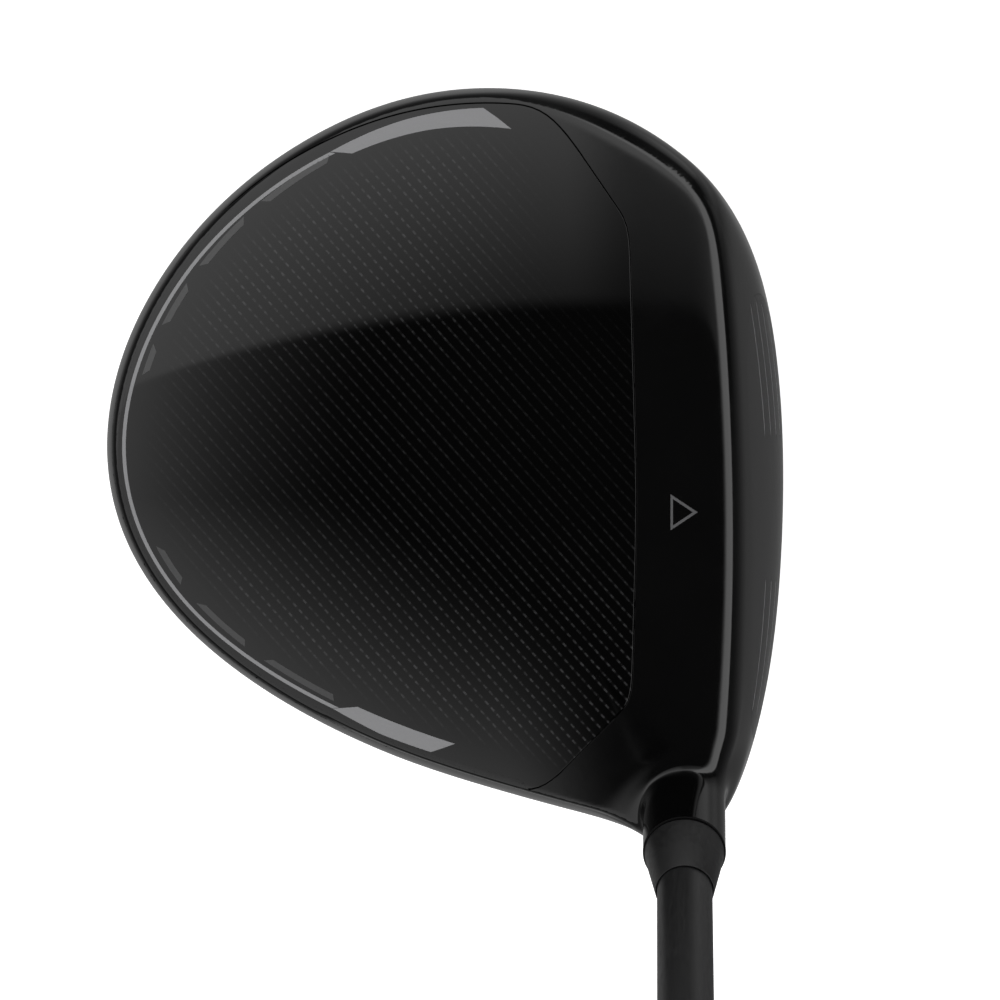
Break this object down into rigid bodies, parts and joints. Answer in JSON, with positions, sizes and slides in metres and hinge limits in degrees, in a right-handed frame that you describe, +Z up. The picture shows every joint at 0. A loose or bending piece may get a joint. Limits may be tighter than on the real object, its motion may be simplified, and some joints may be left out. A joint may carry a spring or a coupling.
{
  "type": "golf driver",
  "caption": "Left-handed golf driver: hollow rounded head with carbon crown and sole panels, lofted face, removable sole weights, keyed adjustable hosel, tapered shaft and rubber grip.",
  "frame": {"origin": "centre of the small flat on the sole that rests on the ground at address", "axes": "+X towards the target, out of the face; +Y from heel to toe; +Z up. The shaft leans back towards -Y at a 58 degree lie"},
  "size_m": [0.1127, 0.7127, 0.9864],
  "materials": {
    "head_paint": "gloss black paint over cast titanium",
    "face_metal": "dark satin coating over forged titanium",
    "carbon": "lacquered twill carbon fibre",
    "plug_rubber": "matt",
    "sleeve_alloy": "black anodised",
    "ferrule": "satin",
    "shaft_paint": "satin paint over carbon fibre",
    "grip_rubber": "moulded pattern",
    "tape": "masking tape",
    "steel": "machined",
    "retainer": "nylon",
    "tungsten": "dark plated"
  },
  "bodies": {
    "club": {"shaft": "shaft_paint", "hosel_sleeve": "sleeve_alloy", "ferrule": "ferrule", "grip": "grip_rubber", "grip_cap": "grip_rubber", "grip_tape": "tape"},
    "washer": {"screw_washer": "steel"},
    "screw": {"hosel_screw": "steel", "screw_retainer": "retainer"},
    "head": {"head_body": "head_paint", "face_plate": "face_metal", "crown_panel": "carbon", "sole_panel_toe": "carbon", "sole_panel_heel": "carbon", "port_plug": "plug_rubber"},
    "weight_back": {"weight_back": "tungsten"},
    "weight_screw_back": {"weight_screw_back": "steel"},
    "weight_toe": {"weight_toe": "tungsten"},
    "weight_screw_toe": {"weight_screw_toe": "steel"},
    "weight_heel": {"weight_heel": "tungsten"},
    "weight_screw_heel": {"weight_screw_heel": "steel"}
  },
  "joints": [
    {"name": "head_release", "type": "slide", "parent": "club", "child": "washer", "axis": [0, 0.5299, -0.848], "range_m": [0, 0.0096]},
    {"name": "hosel_screw_turn", "type": "hinge", "parent": "washer", "child": "screw", "pos_m": [0.0205, -0.03407, 0.01018], "axis": [0, 0.5299, -0.848], "range_deg": [0, 4320]},
    {"name": "head_turn", "type": "hinge", "parent": "washer", "child": "head", "pos_m": [0.0205, -0.05155, 0.03816], "axis": [0, -0.5299, 0.848], "range_deg": [-180, 180]},
    {"name": "weight_back_out", "type": "slide", "parent": "head", "child": "weight_back", "axis": [-0.3769, 0.0088, -0.9262], "range_m": [0, 0.004]},
    {"name": "weight_back_screw_turn", "type": "hinge", "parent": "weight_back", "child": "weight_screw_back", "pos_m": [-0.059, 0.001, 0.01121], "axis": [-0.3769, 0.0088, -0.9262], "range_deg": [0, 1800]},
    {"name": "weight_toe_out", "type": "slide", "parent": "head", "child": "weight_toe", "axis": [0.0385, 0.3635, -0.9308], "range_m": [0, 0.004]},
    {"name": "weight_toe_screw_turn", "type": "hinge", "parent": "weight_toe", "child": "weight_screw_toe", "pos_m": [0.006, 0.041, 0.00733], "axis": [0.0385, 0.3635, -0.9308], "range_deg": [0, 1800]},
    {"name": "weight_heel_out", "type": "slide", "parent": "head", "child": "weight_heel", "axis": [-0.0771, -0.3549, -0.9317], "range_m": [0, 0.004]},
    {"name": "weight_heel_screw_turn", "type": "hinge", "parent": "weight_heel", "child": "weight_screw_heel", "pos_m": [-0.012, -0.04, 0.00732], "axis": [-0.0771, -0.3549, -0.9317], "range_deg": [0, 1800]}
  ],
  "couplings": [
    {"joint": "hosel_screw_turn", "follows": "head_release", "rad_per_m": 7854},
    {"joint": "weight_back_screw_turn", "follows": "weight_back_out", "rad_per_m": 7854},
    {"joint": "weight_toe_screw_turn", "follows": "weight_toe_out", "rad_per_m": 7854},
    {"joint": "weight_heel_screw_turn", "follows": "weight_heel_out", "rad_per_m": 7854}
  ]
}
